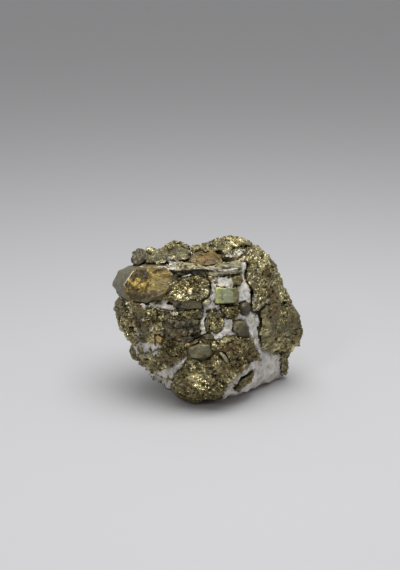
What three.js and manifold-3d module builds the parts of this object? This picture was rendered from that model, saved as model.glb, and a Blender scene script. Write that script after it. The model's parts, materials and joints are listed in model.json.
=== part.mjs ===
// A hand specimen of massive pyrite, about 60 mm wide: granular brassy masses and a few larger crystals,
// each a piece of its own, held in pale vein quartz. Millimetres, +Z up, +X to the right, +Y to the back.
//
// Places are given in the leaning frame, which is turned back about X by LEAN. There x runs to the right,
// y is the depth into the specimen and z runs up along the lean, so the widest outline lies in its XZ plane.

import * as THREE from "three";
import { ConvexGeometry } from "three/addons/geometries/ConvexGeometry.js";
import { ConvexHull } from "three/addons/math/ConvexHull.js";
import { ImprovedNoise } from "three/addons/math/ImprovedNoise.js";
import { mergeVertices } from "three/addons/utils/BufferGeometryUtils.js";
import Module from "manifold-3d";

const wasm = await Module();
wasm.setup();

// Driving dimensions
const LEAN = THREE.MathUtils.degToRad(18);
const FLOOR = -23.7; // height of the resting plane, from the leaning frame's origin
const FRONT_DEPTH = 19;
const BACK_DEPTH = 20;
const ROUNDNESS = 2.4; // 2 makes an elliptic section from front to back, more makes a boxier one
const SKIN_DETAIL = 10; // subdivisions of the icosahedron that carries the skin of the pyrite
const QUARTZ_DETAIL = 8; // and of the quartz, which shows less of it
const SWELL = { height: 0.9, length: 9 };
const CHIPS = { height: 0.4, length: 4 };
const VEIN_RECESS = 0.5; // the quartz lies this far below the skin
const GAP = 0.3; // clear space between neighbouring pieces
const ROOT_SHARE = 0.6; // a piece's root against its outline
const RIM_SHARE = 0.25; // the depth of its widest outline against its full depth
const MASS_RELIEF = 0.5; // how far a mass stands out of the skin, where none is given
const MERGE = 1e-3; // corners closer than this are one corner

// The widest outline, [x, z], clockwise from the left.
const OUTLINE = [
  [-29.8, 11.3], [-28, 14.7], [-25, 16.7], [-22.9, 17.4], [-23.4, 20.5], [-21.3, 21.8], [-13.3, 21.8],
  [-11.6, 23.4], [-10, 23.9], [-8.3, 23], [-4.9, 22.8], [-1.6, 23.9], [2.2, 25.1], [6.4, 25.5],
  [10.1, 25.3], [12.2, 23.9], [15.1, 23.7], [18.5, 19.7], [21.8, 15.9], [22.3, 11.7], [25.2, 7.1],
  [25.6, 4.6], [28.5, 1.3], [29.8, -6.3], [28.5, -8.8], [26, -10.5], [26.4, -18.4], [25.2, -20.5],
  [18.5, -20.5], [16.4, -22.2], [12.6, -23.4], [3.4, -25.1], [-4.1, -25.1], [-8.3, -24.3],
  [-13.3, -21.3], [-17.5, -18.4], [-19.6, -15.1], [-21.7, -13.4], [-23.4, -7.5], [-25.2, -3.8],
  [-28.8, 2.1], [-29.4, 4.6], [-29, 7.1],
];

// Broken faces: planes that nothing stands outside of, each a direction and its distance from the origin.
const BREAKS = [
  { facing: [0, -1, -0.05], distance: 15.5 }, // front
  { facing: [-0.08, -0.5, 0.86], distance: 21.2 }, // top
  { facing: [0.62, -0.78, 0], distance: 18.6 }, // right of the front
  { facing: [-0.6, -0.5, -0.6], distance: 21 }, // lower left
  { facing: [-0.8, -0.6, 0.1], distance: 25 }, // left
  { facing: [0.1, 1, 0.1], distance: 17 }, // back
  { facing: [-0.7, 0.7, 0.2], distance: 21 },
  { facing: [0.6, 0.7, -0.3], distance: 21 },
].map(({ facing, distance }) => ({ normal: new THREE.Vector3(...facing).normalize(), distance }));

// Pulls carry the specimen back (+) or forward (-) around a place in the outline.
const PULLS = [
  { x: 26, z: -20, reach: 12, shift: 17 }, // the foot stands well back
  { x: -2, z: -25, reach: 14, shift: -3 },
  { x: 29, z: -3, reach: 16, shift: 3 },
  { x: -21, z: 21, reach: 8, shift: 8 },
  { x: -27, z: 11, reach: 10, shift: -3 },
];

const FINISHES = {
  vein_quartz: { color: 0xa9a8a4, roughness: 0.55, metalness: 0 },
  granular_pyrite: { color: 0x8c7f52, roughness: 0.4, metalness: 0.7 },
  bright_pyrite: { color: 0xb0a268, roughness: 0.3, metalness: 0.8 },
  stained_pyrite: { color: 0x8a6a2e, roughness: 0.5, metalness: 0.3 },
  striated_pyrite: { color: 0x9ba06c, roughness: 0.35, metalness: 0.7 },
  tarnished_pyrite: { color: 0x49453a, roughness: 0.5, metalness: 0.4 },
  weathered_pyrite: { color: 0x6f6850, roughness: 0.6, metalness: 0.1 },
};

// Front pieces, from the crisp small crystals to the large masses that they are set in. Each has its outline
// seen from the front, [x, z], the depth that it reaches into the specimen, and how far it stands proud.
// A mass has a relief instead: its face follows the specimen's skin, that far out.
const FRONT = [
  {
    name: "striated_cube", finish: "striated_pyrite", depth: 4, proud: 1, crown: 0.93,
    outline: [[2.1, 10.2], [9.3, 10.3], [9.4, 5.4], [2, 5]],
  },
  {
    name: "round_dark_crystal", finish: "tarnished_pyrite", depth: 3.5, proud: 1.2, crown: 0.6,
    outline: [[9.4, 4.4], [10.2, 5.5], [12, 5.6], [13.3, 4.4], [13.2, 2.6], [11.8, 1.5], [10, 1.9]],
  },
  {
    name: "small_brown_crystal", finish: "granular_pyrite", depth: 3, proud: 0.6, crown: 0.75,
    outline: [[7.5, 13.6], [10.5, 13.9], [11, 11.4], [9.8, 10.5], [7.6, 10.9]],
  },
  {
    name: "gold_crystal", finish: "bright_pyrite", depth: 2.5, proud: 0.9, crown: 0.6,
    outline: [[-16.2, -4.6], [-14.8, -4.2], [-13.6, -5.4], [-14.2, -6.9], [-15.9, -7]],
  },
  {
    name: "slender_crystal", finish: "weathered_pyrite", depth: 2.5, proud: 0.9, crown: 0.7,
    outline: [[2.9, -9.4], [4, -9], [6.5, -12.1], [6.3, -13.2], [5.4, -13]],
  },
  {
    name: "olive_crystal", finish: "weathered_pyrite", depth: 4, proud: 0.9, crown: 0.8,
    outline: [[7.6, -0.2], [11.4, 0], [12.8, -2.4], [12.7, -5.2], [9.6, -5.4], [7.5, -3.2]],
  },
  {
    name: "grey_tablet", finish: "weathered_pyrite", depth: 4, proud: 1.1, crown: 0.85,
    outline: [[-6.5, -8], [-2.6, -6.9], [0.8, -7.2], [1.4, -10.6], [-2.2, -11.7], [-5.9, -11.6]],
  },
  {
    name: "small_dark_crystal", finish: "tarnished_pyrite", depth: 3, proud: 0.4, crown: 0.7,
    outline: [[-1.6, -4.6], [0.4, -3.9], [2.4, -4.7], [1.8, -6], [-1, -6.2]],
  },
  {
    name: "white_grain", finish: "vein_quartz", depth: 2, proud: 0.8, crown: 0.7,
    outline: [[-2, 5.4], [-0.4, 6.7], [0.7, 6.5], [0.1, 5.6], [-1, 4.9]],
  },
  {
    name: "top_quartz_crystal", finish: "vein_quartz", depth: 4, proud: 0.6, crown: 0.7,
    outline: [[7.6, 22.2], [10.2, 22.9], [11.2, 20.6], [9.6, 19.2], [7.6, 20]],
  },
  {
    name: "dark_plate", finish: "tarnished_pyrite", depth: 4, proud: 0.2, crown: 0.9,
    outline: [[-11.4, 5.8], [-5, 6.4], [-1.2, 6.2], [-1.7, 3.7], [-5.6, 3.4], [-9.6, 4]],
  },
  {
    name: "bright_lens", finish: "bright_pyrite", depth: 6, relief: 0.9,
    outline: [[-13.8, 6.7], [-10.6, 10.6], [-8, 13], [-4.6, 14], [-0.6, 13.5], [1.3, 11.6], [0.8, 8], [-2, 5.9]],
  },
  {
    name: "stained_crystal", finish: "stained_pyrite", depth: 9, proud: 1.6, crown: 0.82, drift: [1.5, -0.5],
    outline: [[-30.2, 11.2], [-28.4, 15], [-25, 17.1], [-19, 17.3], [-12.8, 16.8], [-10.7, 14.2], [-11, 10.4],
      [-14.6, 6.4], [-20, 4.8], [-26.6, 5.4]],
  },
  {
    name: "speckled_crystal", finish: "granular_pyrite", depth: 5, proud: 0.5, crown: 0.8,
    outline: [[-0.8, 3.7], [2.1, 4.2], [5.4, 0.4], [5.5, -2.7], [2.8, -4.2], [-0.2, -3.6]],
  },
  {
    name: "bronze_chunk", finish: "granular_pyrite", depth: 4.5, proud: 0.5, crown: 0.85,
    outline: [[2.9, 4.7], [9, 4.7], [9.2, 0.5], [6.4, 0.2], [4.6, 1.8]],
  },
  {
    name: "sparkle_band", finish: "granular_pyrite", depth: 4, relief: 0.4,
    outline: [[-14.6, 3.2], [-8, 3.2], [-1.8, 3], [-1.6, 0.9], [-7, 0.7], [-14.4, 0.2]],
  },
  {
    name: "dark_bronze_mass", finish: "tarnished_pyrite", depth: 6, relief: 0.3,
    outline: [[-13.6, 1.4], [-1.7, 1.4], [-1.8, -4.6], [-5.8, -6.4], [-12.8, -5.6]],
  },
  {
    name: "pyrite_stringer", finish: "granular_pyrite", depth: 5, relief: 0.3,
    outline: [[7.8, -21.8], [10, -19.6], [15.2, -15.4], [16.2, -16], [12.8, -19.8], [9, -22.6]],
  },
  {
    name: "centre_bronze_mass", finish: "granular_pyrite", depth: 5, relief: 0.2,
    outline: [[-14.4, -5], [-6, -4.4], [-0.6, -5.2], [-1.4, -8], [-7.4, -11], [-12.6, -10], [-14.6, -7.4]],
  },
  {
    name: "bronze_mass", finish: "granular_pyrite", depth: 8, relief: 0.7,
    outline: [[0.6, -6.4], [6, -4.4], [13.4, -5.6], [15.2, -8.6], [15.9, -12.2], [8.4, -14], [1.2, -11.6]],
  },
  {
    name: "left_lower_mass", finish: "granular_pyrite", depth: 7, relief: 0.5,
    outline: [[-21.4, -10.6], [-14, -8.8], [-7.6, -8.8], [-6.8, -11.4], [-12, -14.6], [-17.4, -16.4], [-21.6, -14]],
  },
  {
    name: "left_mass", finish: "granular_pyrite", depth: 12, relief: 0.6,
    outline: [[-30.8, 6.4], [-24, 7], [-18, 5], [-13, 2.6], [-12.6, -4.6], [-16.4, -7], [-23.6, -7.4],
      [-28, -2.6]],
  },
  {
    name: "lower_mass", finish: "granular_pyrite", depth: 10, relief: 0.9,
    outline: [[-11.6, -21], [-9.4, -15.4], [-6.6, -11.8], [0, -10.6], [8, -12], [14.9, -11.6], [12.8, -14.4],
      [8.6, -18.4], [4.2, -23.8], [0, -26.6], [-6, -26.4], [-10.8, -23.6]],
  },
  {
    name: "foot_mass", finish: "granular_pyrite", depth: 12, relief: 0.2,
    outline: [[23.4, -10.6], [26.6, -9.6], [27.4, -14], [27.6, -20], [25.4, -21], [24.4, -16]],
  },
  {
    name: "right_lower_mass", finish: "granular_pyrite", depth: 18, relief: 0.6,
    outline: [[16.2, 3.4], [21, 6], [27.6, 4.8], [31, -3], [30.8, -8.4], [26.8, -11.8], [21, -11.4], [17.2, -9.8],
      [15.7, -5.4]],
  },
  {
    name: "right_upper_mass", finish: "granular_pyrite", depth: 17, relief: 0.5,
    outline: [[11.2, 18.8], [12.6, 23.4], [18, 22.8], [24, 14], [27, 5], [21, 3], [14.2, 2.4], [13.2, 9]],
  },
  {
    name: "knob_crystal", finish: "tarnished_pyrite", depth: 9, relief: 0.6,
    outline: [[-24.4, 18.2], [-24, 21.6], [-21, 22.8], [-18.8, 21], [-19, 18.4], [-21.6, 17.2]],
  },
  {
    name: "top_stained_mass", finish: "stained_pyrite", depth: 6, relief: 0.2,
    outline: [[-6, 20.2], [-1, 21.6], [4.4, 20.8], [4.2, 17.4], [-0.6, 16.4], [-4, 16.8]],
  },
  {
    name: "top_ledge_mass", finish: "weathered_pyrite", depth: 7, relief: 0.5,
    outline: [[-12.6, 18], [-3.8, 17], [4, 17], [10.6, 18.4], [11, 14.6], [2, 13.6], [-7, 12.6], [-12, 12.6]],
  },
  {
    name: "top_left_mass", finish: "granular_pyrite", depth: 14, relief: 0.4,
    outline: [[-21, 17.4], [-19, 22.8], [-10, 24.8], [-5, 23.8], [-5, 18.6], [-10, 17]],
  },
  {
    name: "top_ridge_mass", finish: "granular_pyrite", depth: 15, relief: 0.5,
    outline: [[-6.4, 23.6], [2, 26.4], [10.4, 26.6], [15.6, 24.8], [12.4, 19.4], [4, 18.6], [-3, 20]],
  },
];

// Back pieces: the same, on the side that rests unseen. Their outlines are rough ovals.
const BACK = [
  { name: "back_small_cube", finish: "bright_pyrite", at: [-9, 3], half: [2.3, 2.3], corners: 4, depth: 4, proud: 1.1 },
  { name: "back_cube", finish: "bright_pyrite", at: [4.5, 3], half: [4.4, 4.2], corners: 4, depth: 6, proud: 1.8 },
  { name: "back_pyritohedron", finish: "bright_pyrite", at: [-17, 9], half: [3.4, 3.2], corners: 5, depth: 6, proud: 1.5 },
  { name: "back_upper_mass", finish: "granular_pyrite", at: [-3, 14.5], half: [14, 8], corners: 8, depth: 9 },
  { name: "back_right_mass", finish: "granular_pyrite", at: [16.5, -1.5], half: [10, 13], corners: 8, depth: 9 },
  { name: "back_left_mass", finish: "granular_pyrite", at: [-17, -3], half: [10.5, 11], corners: 8, depth: 9 },
  { name: "back_lower_mass", finish: "granular_pyrite", at: [0, -14.5], half: [13, 9], corners: 8, depth: 9 },
];

const noise = new ImprovedNoise();

// How far the outline stands from the centre, along a direction in its plane.
function outlineRadius(x, z) {
  const radii = OUTLINE.map(([ax, az], i) => {
    const [bx, bz] = OUTLINE[(i + 1) % OUTLINE.length];
    const [fromA, fromB] = [x * az - z * ax, x * bz - z * bx];
    const share = fromA / (fromA - fromB);
    const along = (ax + share * (bx - ax)) * x + (az + share * (bz - az)) * z;
    return fromA * fromB <= 0 && fromA !== fromB ? along / (x * x + z * z) : 0;
  });
  return Math.max(...radii) * Math.hypot(x, z);
}

// How far the pulls move the specimen back at a place in the outline.
function pull(x, z) {
  return PULLS.reduce((sum, p) => sum + p.shift * Math.exp(-((x - p.x) ** 2 + (z - p.z) ** 2) / p.reach ** 2), 0);
}

// The skin's point in a direction from the centre, moved outwards by a relief.
function skinPoint(direction, relief) {
  const side = Math.hypot(direction.x, direction.z) / outlineRadius(direction.x, direction.z);
  const front = Math.abs(direction.y) / (direction.y < 0 ? FRONT_DEPTH : BACK_DEPTH);
  let radius = (side ** ROUNDNESS + front ** ROUNDNESS) ** (-1 / ROUNDNESS);
  for (const { normal, distance } of BREAKS) {
    const facing = direction.dot(normal);
    if (facing > 0) radius = Math.min(radius, distance / facing);
  }
  for (const { height, length } of [SWELL, CHIPS]) {
    const at = direction.clone().multiplyScalar(radius / length);
    radius += height * noise.noise(at.x + 40, at.y + 40, at.z + 40);
  }
  const point = direction.clone().multiplyScalar(radius + relief);
  point.y += pull(point.x, point.z);
  return point;
}

// The skin's depth at a place in the outline: sign is -1 on the front and 1 on the back.
function skinDepth(x, z, sign) {
  const inside = 1 - Math.min(1, Math.hypot(x, z) / outlineRadius(x, z)) ** ROUNDNESS;
  let depth = (sign < 0 ? FRONT_DEPTH : BACK_DEPTH) * inside ** (1 / ROUNDNESS);
  for (const { normal, distance } of BREAKS) {
    const facing = normal.y * sign;
    if (facing > 0.3) depth = Math.min(depth, (distance - normal.x * x - normal.z * z) / facing);
  }
  return sign * Math.max(depth, 0) + pull(x, z);
}

function solid(geometry) {
  const bare = new THREE.BufferGeometry().setAttribute("position", geometry.getAttribute("position"));
  bare.setIndex(geometry.index);
  const merged = mergeVertices(bare, MERGE);
  const vertProperties = merged.attributes.position.array;
  return new wasm.Manifold(new wasm.Mesh({ numProp: 3, vertProperties, triVerts: merged.index.array }));
}

function skinSolid(relief, detail) {
  const ball = mergeVertices(
    new THREE.IcosahedronGeometry(1, detail).deleteAttribute("normal").deleteAttribute("uv"), MERGE);
  const position = ball.getAttribute("position");
  for (let i = 0; i < position.count; i++) {
    const point = skinPoint(new THREE.Vector3().fromBufferAttribute(position, i).normalize(), relief);
    position.setXYZ(i, point.x, point.y, point.z);
  }
  return solid(ball);
}

// The convex solid around a set of points, and the same solid with its faces moved outwards by GAP.
function convexPair(points) {
  const centre = points.reduce((sum, p) => sum.add(p), new THREE.Vector3()).divideScalar(points.length);
  const hull = new ConvexHull().setFromPoints(points.map((p) => p.clone().sub(centre)));
  const dual = hull.faces.map((face) => face.normal.clone().divideScalar(face.constant + GAP));
  const corners = new ConvexHull().setFromPoints(dual).faces
    .map((face) => face.normal.clone().divideScalar(face.constant).add(centre));
  return { body: solid(new ConvexGeometry(points)), cutter: solid(new ConvexGeometry(corners)) };
}

// A block with an outline seen from the front (sign -1) or the back (1): its rim follows the skin, its face
// is the outline drawn in to crown, moved by drift and standing proud, and its root is a smaller outline at
// its full depth.
function block({ outline, depth, proud = 3, crown = 0.9, drift = [0, 0] }, sign) {
  const middle = outline.reduce(([x, z], [cx, cz]) => [x + cx / outline.length, z + cz / outline.length], [0, 0]);
  const level = skinDepth(...middle, sign);
  return outline.flatMap(([x, z]) => {
    const drawnIn = (share) => [middle[0] + share * (x - middle[0]), middle[1] + share * (z - middle[1])];
    const [faceX, faceZ] = drawnIn(crown).map((place, axis) => place + drift[axis]);
    const [rootX, rootZ] = drawnIn(ROOT_SHARE);
    return [
      new THREE.Vector3(faceX, skinDepth(faceX, faceZ, sign) + sign * proud, faceZ),
      new THREE.Vector3(x, skinDepth(x, z, sign) - sign * RIM_SHARE * depth, z),
      new THREE.Vector3(rootX, level - sign * depth, rootZ),
    ];
  });
}

// A rough oval outline with its corners out of true.
function roughOval({ at: [x, z], half: [wide, high], corners }) {
  return Array.from({ length: corners }, (_, i) => {
    const turn = (2 * Math.PI * (i + 0.5)) / corners + 0.35 * Math.sin(7 * i + x);
    const reach = (corners === 4 ? 1.3 : 1.05) + 0.1 * Math.sin(5 * i + z);
    return [x + wide * reach * Math.cos(turn), z + high * reach * Math.sin(turn)];
  });
}

// The large body of a solid, without chips that its neighbours' cuts leave loose.
function largest(cut) {
  return cut.decompose().reduce((best, part) => (part.volume() > best.volume() ? part : best));
}

function mesh(name, finish, shape) {
  const { vertProperties, triVerts } = shape.getMesh();
  const geometry = new THREE.BufferGeometry().setAttribute("position", new THREE.BufferAttribute(vertProperties, 3));
  geometry.setIndex(new THREE.BufferAttribute(triVerts, 1));
  const made = new THREE.Mesh(geometry, new THREE.MeshStandardMaterial({ name: finish, ...FINISHES[finish] }));
  made.name = name;
  return made;
}

// Everything below the resting plane, in the leaning frame.
function ground() {
  const [side, thick] = [200, 60];
  const box = new THREE.BoxGeometry(side, side, thick).translate(0, 0, FLOOR - thick / 2);
  return solid(box.rotateX(LEAN).deleteAttribute("normal").deleteAttribute("uv"));
}

const below = ground();
const skins = new Map();
const pieces = [
  ...FRONT.map((piece) => ({ ...piece, sign: -1 })),
  ...BACK.map((piece) => ({ ...piece, outline: roughOval(piece), sign: 1 })),
];

const leaning = new THREE.Group();
leaning.rotation.x = -LEAN;
let taken = below; // what the pieces made so far leave no room in
for (const piece of pieces) {
  const { body, cutter } = convexPair(block(piece, piece.sign));
  let shape = body.subtract(taken);
  if (piece.relief !== undefined || piece.proud === undefined) {
    const relief = piece.relief ?? MASS_RELIEF;
    if (!skins.has(relief)) skins.set(relief, skinSolid(relief, SKIN_DETAIL));
    shape = shape.intersect(skins.get(relief));
  }
  leaning.add(mesh(piece.name, piece.finish, largest(shape)));
  taken = taken.add(cutter);
}
const quartz = skinSolid(-VEIN_RECESS, QUARTZ_DETAIL).subtract(taken);
leaning.add(mesh("quartz_matrix", "vein_quartz", largest(quartz)));

// The row's origin is at the middle of the base.
const specimen = new THREE.Group();
specimen.add(leaning);
specimen.updateMatrixWorld(true);
const box = new THREE.Box3().setFromObject(leaning, true);
const middle = box.getCenter(new THREE.Vector3());
leaning.position.set(-middle.x, -middle.y, -box.min.z);

export default specimen;
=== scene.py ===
# %% [markdown]
# # A hand specimen of massive pyrite
# The specimen is a broken lump of ore, about 60 mm wide: brassy masses of millimetre crystals, and a few
# larger crystals, held together by pale veins of quartz. Its shape, sizes and pieces come from the packed
# frame. This script gives each piece the surface that the eye sees: grains, facets, striations and stain.

# %% Load the frame
import json

import bpy
import numpy as np
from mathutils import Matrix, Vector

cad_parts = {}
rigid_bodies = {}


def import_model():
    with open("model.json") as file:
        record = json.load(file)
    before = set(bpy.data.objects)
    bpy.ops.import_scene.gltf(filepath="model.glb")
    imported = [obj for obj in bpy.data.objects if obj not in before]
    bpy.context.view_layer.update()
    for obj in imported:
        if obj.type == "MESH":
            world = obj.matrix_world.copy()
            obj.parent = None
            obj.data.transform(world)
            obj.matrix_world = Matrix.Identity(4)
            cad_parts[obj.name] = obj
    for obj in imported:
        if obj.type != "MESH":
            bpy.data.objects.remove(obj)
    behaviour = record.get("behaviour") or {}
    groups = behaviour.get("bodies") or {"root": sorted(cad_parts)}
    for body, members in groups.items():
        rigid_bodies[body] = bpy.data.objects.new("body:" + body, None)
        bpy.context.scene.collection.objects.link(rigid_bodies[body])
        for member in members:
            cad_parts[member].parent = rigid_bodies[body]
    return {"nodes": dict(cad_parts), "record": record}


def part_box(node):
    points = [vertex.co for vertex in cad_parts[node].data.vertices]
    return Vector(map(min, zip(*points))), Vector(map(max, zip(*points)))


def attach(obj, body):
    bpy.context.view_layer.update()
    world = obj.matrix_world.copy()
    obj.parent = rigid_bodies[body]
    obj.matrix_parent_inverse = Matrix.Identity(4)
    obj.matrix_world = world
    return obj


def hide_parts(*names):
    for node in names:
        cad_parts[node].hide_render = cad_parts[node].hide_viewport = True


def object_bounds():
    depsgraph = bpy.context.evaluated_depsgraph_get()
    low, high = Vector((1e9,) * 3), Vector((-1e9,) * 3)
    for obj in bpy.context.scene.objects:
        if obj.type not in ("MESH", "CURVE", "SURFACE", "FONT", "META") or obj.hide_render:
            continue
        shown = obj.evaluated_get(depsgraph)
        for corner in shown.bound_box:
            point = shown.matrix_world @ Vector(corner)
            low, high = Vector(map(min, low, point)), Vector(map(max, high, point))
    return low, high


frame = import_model()
cad_box = [list(corner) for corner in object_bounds()]
nodes = frame["nodes"]
slot_of = {part["node"]: part["material_slot"] for part in frame["record"]["subparts"]}
MM = 0.001  # metres in a millimetre: the shapes below are worked out in millimetres
low, high = np.array(cad_box) / MM
centre = (low + high) / 2
print(len(nodes), "pieces, box in mm", np.round(high - low, 1))

# %% [markdown]
# ## Camera
# The specimen stands on a table and is seen from a little above, with a long lens, so that its sides hardly
# converge. A target point and an elevation fix the camera. It aims above the specimen's middle, which leaves
# free room over it.

# %% Camera
ELEVATION = np.radians(18)
DISTANCE = 0.42  # metres from the target
AIM_MM = centre + np.array([-2.2, 0.0, 10.9])
FRONTWARDS = np.array([0.0, -np.cos(ELEVATION), np.sin(ELEVATION)])  # the way the leaning front faces

camera = bpy.data.objects.new("camera", bpy.data.cameras.new("camera"))
camera.data.lens = 85
bpy.context.scene.collection.objects.link(camera)
bpy.context.scene.camera = camera
camera.location = AIM_MM * MM + FRONTWARDS * DISTANCE
camera.rotation_euler = (np.pi / 2 - ELEVATION, 0, 0)

# %% [markdown]
# ## Numbers that look random and never change
# A mineral surface is irregular at every scale. A hash gives each cell of a lattice its own random number,
# the same on every run and at the same place for every piece. Smooth noise joins those numbers up. The last
# number in each call is its seed: it only tells one set of random numbers from another.


# %% Hash and smooth noise
def scatter(cells, seed):
    """One number from 0 to 1 for each cell: its three whole coordinates are multiplied by large primes,
    mixed by exclusive-or and shifted down on themselves."""
    a, b, c = np.moveaxis(cells.astype(np.uint64), -1, 0)
    mixed = a * np.uint64(73856093) ^ b * np.uint64(19349663) ^ c * np.uint64(83492791)
    mixed = (mixed ^ np.uint64(seed * 2654435761 % 2**31)) * np.uint64(0x9E3779B97F4A7C15)
    mixed = (mixed ^ (mixed >> np.uint64(29))) * np.uint64(0xBF58476D1CE4E5B9)
    return (mixed >> np.uint64(40)).astype(float) / 2**24


def noise(points, size, seed):
    """Smooth noise from -1 to 1 with features of a size in mm: the numbers at the eight corners of the
    point's cell, weighted by an S-curve of the distance to each."""
    places = points / size + 1000
    cells = np.floor(places).astype(int)
    part = places - cells
    part = part * part * (3 - 2 * part)
    total = np.zeros(points.shape[:-1])
    for corner in np.ndindex(2, 2, 2):
        weight = np.where(corner, part, 1 - part).prod(axis=-1)
        total += weight * scatter(cells + np.array(corner), seed)
    return 2 * total - 1


def rise(value, start, end):
    """An S-curve that is 0 up to start and 1 from end on."""
    share = np.clip((value - start) / (end - start), 0, 1)
    return share * share * (3 - 2 * share)


WARPS = ((4.5, 0.8), (1.9, 0.5), (0.9, 0.25))  # the size and the amount of each noise, in mm


def warp(points):
    """Bends space a little, so that no edge runs straight: for each axis, noises of three sizes."""
    bent = points.copy()
    for axis in range(3):
        for size, amount in WARPS:
            bent[..., axis] += amount * noise(points, size, 11 + 3 * axis + int(size))
    return bent


# %% [markdown]
# ## Rays
# Every piece is a lump that can be seen whole from its own middle, so its surface is a distance in every
# direction: a function of two angles. Rays from the middle measure that distance on the frame's solid.
# A Raycast node measures all the rays at once.


# %% One small function that adds a node
def linear(colour):
    """Linear red, green, blue and alpha from an sRGB hex colour."""
    parts = np.array([int(colour[i:i + 2], 16) for i in (1, 3, 5)]) / 255
    curve = np.where(parts <= 0.04045, parts / 12.92, ((parts + 0.055) / 1.055) ** 2.4)
    return (*curve, 1.0)


def add(tree, kind, inputs=None, **settings):
    """Adds a node, sets its properties and fills its inputs. A node gives its first live output, a socket is
    linked, a hex colour is made linear, and anything else is a value."""
    node = tree.nodes.new(kind)
    for name, value in settings.items():
        setattr(node, name, value)
    for name, value in (inputs or {}).items():
        if isinstance(value, bpy.types.Node):
            value = next(socket for socket in value.outputs if socket.enabled)
        if isinstance(value, bpy.types.NodeSocket):
            tree.links.new(value, node.inputs[name])
        elif isinstance(value, str) and value.startswith("#"):
            node.inputs[name].default_value = linear(value)
        else:
            node.inputs[name].default_value = value
    return node


# %% Rays
def ray_hits(starts, ways, solid, reach=200.0):
    """How far each ray goes before it meets a solid, in mm. A ray that misses goes 0."""
    carrier = bpy.data.objects.new("rays", bpy.data.meshes.new("rays"))
    carrier.data.from_pydata((starts * MM).reshape(-1, 3), [], [])
    carrier.data.attributes.new("way", "FLOAT_VECTOR", "POINT").data.foreach_set(
        "vector", ways.astype(np.float32).ravel())
    bpy.context.scene.collection.objects.link(carrier)
    tree = bpy.data.node_groups.new("cast", "GeometryNodeTree")
    tree.interface.new_socket("Geometry", in_out="INPUT", socket_type="NodeSocketGeometry")
    tree.interface.new_socket("Geometry", in_out="OUTPUT", socket_type="NodeSocketGeometry")
    points = add(tree, "NodeGroupInput")
    target = add(tree, "GeometryNodeObjectInfo", {"Object": solid})
    way = add(tree, "GeometryNodeInputNamedAttribute", {"Name": "way"}, data_type="FLOAT_VECTOR")
    cast = add(tree, "GeometryNodeRaycast", {
        "Target Geometry": target.outputs["Geometry"], "Ray Direction": way, "Ray Length": reach * MM})
    kept = add(tree, "GeometryNodeStoreNamedAttribute", {
        "Geometry": points.outputs[0], "Name": "far", "Value": cast.outputs["Hit Distance"]})
    add(tree, "NodeGroupOutput", {0: kept})
    carrier.modifiers.new("cast", "NODES").node_group = tree
    made = carrier.evaluated_get(bpy.context.evaluated_depsgraph_get())
    far = np.zeros(starts.size // 3, np.float32)
    made.data.attributes["far"].data.foreach_get("value", far)
    bpy.data.objects.remove(carrier)
    bpy.data.node_groups.remove(tree)
    return far.reshape(starts.shape[:-1]) / MM


def triangles_of(node):
    """A frame solid's triangles, in mm: one row of three corners each."""
    mesh = nodes[node].data
    places = np.empty(3 * len(mesh.vertices))
    mesh.vertices.foreach_get("co", places)
    mesh.calc_loop_triangles()
    corners = np.empty(3 * len(mesh.loop_triangles), np.int32)
    mesh.loop_triangles.foreach_get("vertices", corners)
    return places.reshape(-1, 3)[corners.reshape(-1, 3)] / MM


def middle_of(node):
    """The centre of a solid's volume: each triangle makes a tetrahedron with the origin, and the
    tetrahedra's own centres are averaged by their signed volumes."""
    a, b, c = np.moveaxis(triangles_of(node), 1, 0)
    volume = np.einsum("ij,ij->i", a, np.cross(b, c)) / 6
    return (volume[:, None] * (a + b + c) / 4).sum(axis=0) / volume.sum()


# %% Grids of directions and the meshes made on them
def axes_about(pole):
    """Three unit axes at right angles: the pole, and two across it."""
    pole = np.asarray(pole) / np.linalg.norm(pole)
    side = np.cross(pole, [0.1, 0.2, 1.0])
    side /= np.linalg.norm(side)
    return pole, side, np.cross(pole, side)


def way_grid(pole, rows, columns, crowd=1.0):
    """Directions all round, one for each row and column: the angle from the pole grows down the rows, as a
    power of the row's share so that rows crowd towards the pole, and the columns turn about it."""
    pole, side, other = axes_about(pole)
    tilt = np.pi * np.linspace(0, 1, rows)[:, None, None] ** crowd
    turn = 2 * np.pi * np.arange(columns)[None, :, None] / columns
    return np.cos(tilt) * pole + np.sin(tilt) * (np.cos(turn) * side + np.sin(turn) * other)


def blur(grid, times):
    """Averages each value with its four neighbours, some times over. Columns close on themselves."""
    for _ in range(times):
        above, below = np.concatenate([grid[:1], grid[:-1]]), np.concatenate([grid[1:], grid[-1:]])
        grid = (2 * grid + above + below + np.roll(grid, 1, 1) + np.roll(grid, -1, 1)) / 6
    return grid


def outward(grid):
    """The unit normal at each point of a grid: the cross product of its slopes down and along the grid."""
    down = np.gradient(grid, axis=0)
    along = np.roll(grid, -1, 1) - np.roll(grid, 1, 1)
    normal = np.cross(down, along)
    normal[0], normal[-1] = normal[1].mean(axis=0), normal[-2].mean(axis=0)
    return normal / np.maximum(np.linalg.norm(normal, axis=-1, keepdims=True), 1e-9)


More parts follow.
